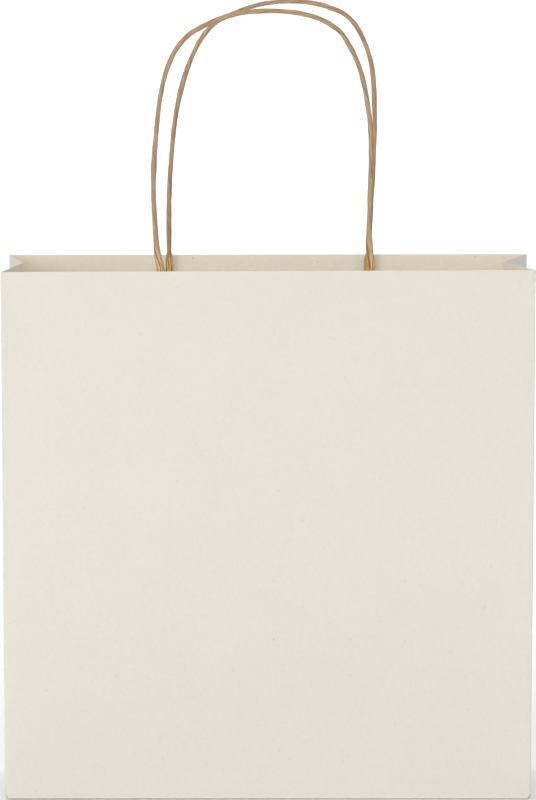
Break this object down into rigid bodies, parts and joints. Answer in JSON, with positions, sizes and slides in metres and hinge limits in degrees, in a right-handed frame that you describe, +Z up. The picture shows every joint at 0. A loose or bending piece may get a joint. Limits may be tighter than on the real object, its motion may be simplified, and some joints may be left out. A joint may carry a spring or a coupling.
{
  "type": "paper gift bag",
  "caption": "Square natural-white paper gift bag with a flat rectangular base, folded side gussets and twisted paper cord handles.",
  "frame": {"origin": "centre of the footprint on the surface that the bag stands on", "axes": "+Z up towards the handles, +Y towards the back panel, +X to the right as seen from the front"},
  "size_m": [0.25, 0.09, 0.3735],
  "materials": {
    "sheet_paper": "matt natural-white kraft paper with fine fibre specks",
    "patch_paper": "matt natural kraft paper",
    "cord_paper": "satin twisted brown kraft paper"
  },
  "bodies": {
    "back_body": {"back_panel": "sheet_paper", "side_seam_lap": "sheet_paper", "left_gusset_foot": "sheet_paper", "right_gusset_foot": "sheet_paper", "bottom_outer_flap": "sheet_paper", "bottom_inner_flap": "sheet_paper", "bottom_left_tuck": "sheet_paper", "bottom_right_tuck": "sheet_paper", "back_patch_base": "patch_paper", "back_patch_cover": "patch_paper", "back_handle_left_foot": "cord_paper", "back_handle_right_foot": "cord_paper"},
    "left_rear_gusset": {"left_gusset_rear": "sheet_paper"},
    "left_front_gusset": {"left_gusset_front": "sheet_paper"},
    "front_body": {"front_panel": "sheet_paper", "front_patch_base": "patch_paper", "front_patch_cover": "patch_paper", "front_handle_left_foot": "cord_paper", "front_handle_right_foot": "cord_paper"},
    "right_rear_gusset": {"right_gusset_rear": "sheet_paper"},
    "right_front_gusset": {"right_gusset_front": "sheet_paper"},
    "front_handle": {"front_handle_loop": "cord_paper"},
    "back_handle": {"back_handle_loop": "cord_paper"}
  },
  "joints": [
    {"name": "flat_fold", "type": "hinge", "parent": "back_body", "child": "left_rear_gusset", "pos_m": [-0.125, 0.0439, 0.12], "axis": [0, 0, 1], "range_deg": [0, 72], "deforming": ["left_gusset_foot", "right_gusset_foot"]},
    {"name": "left_middle_crease", "type": "hinge", "parent": "left_rear_gusset", "child": "left_front_gusset", "pos_m": [-0.1145, 0, 0.12], "axis": [0, 0, 1], "range_deg": [-144, 0]},
    {"name": "left_front_crease", "type": "hinge", "parent": "left_front_gusset", "child": "front_body", "pos_m": [-0.125, -0.0439, 0.12], "axis": [0, 0, 1], "range_deg": [0, 72]},
    {"name": "right_rear_crease", "type": "hinge", "parent": "back_body", "child": "right_rear_gusset", "pos_m": [0.125, 0.0439, 0.12], "axis": [0, 0, 1], "range_deg": [-72, 0]},
    {"name": "right_middle_crease", "type": "hinge", "parent": "right_rear_gusset", "child": "right_front_gusset", "pos_m": [0.1145, 0, 0.12], "axis": [0, 0, 1], "range_deg": [0, 144]},
    {"name": "front_handle_bend", "type": "hinge", "parent": "front_body", "child": "front_handle", "pos_m": [0, -0.04255, 0.2516], "axis": [1, 0, 0], "range_deg": [0, 90]},
    {"name": "back_handle_bend", "type": "hinge", "parent": "back_body", "child": "back_handle", "pos_m": [0, 0.04255, 0.2516], "axis": [-1, 0, 0], "range_deg": [0, 90]}
  ],
  "couplings": [
    {"joint": "left_middle_crease", "follows": "flat_fold", "ratio": -2},
    {"joint": "left_front_crease", "follows": "flat_fold", "ratio": 1},
    {"joint": "right_rear_crease", "follows": "flat_fold", "ratio": -1},
    {"joint": "right_middle_crease", "follows": "flat_fold", "ratio": 2}
  ]
}
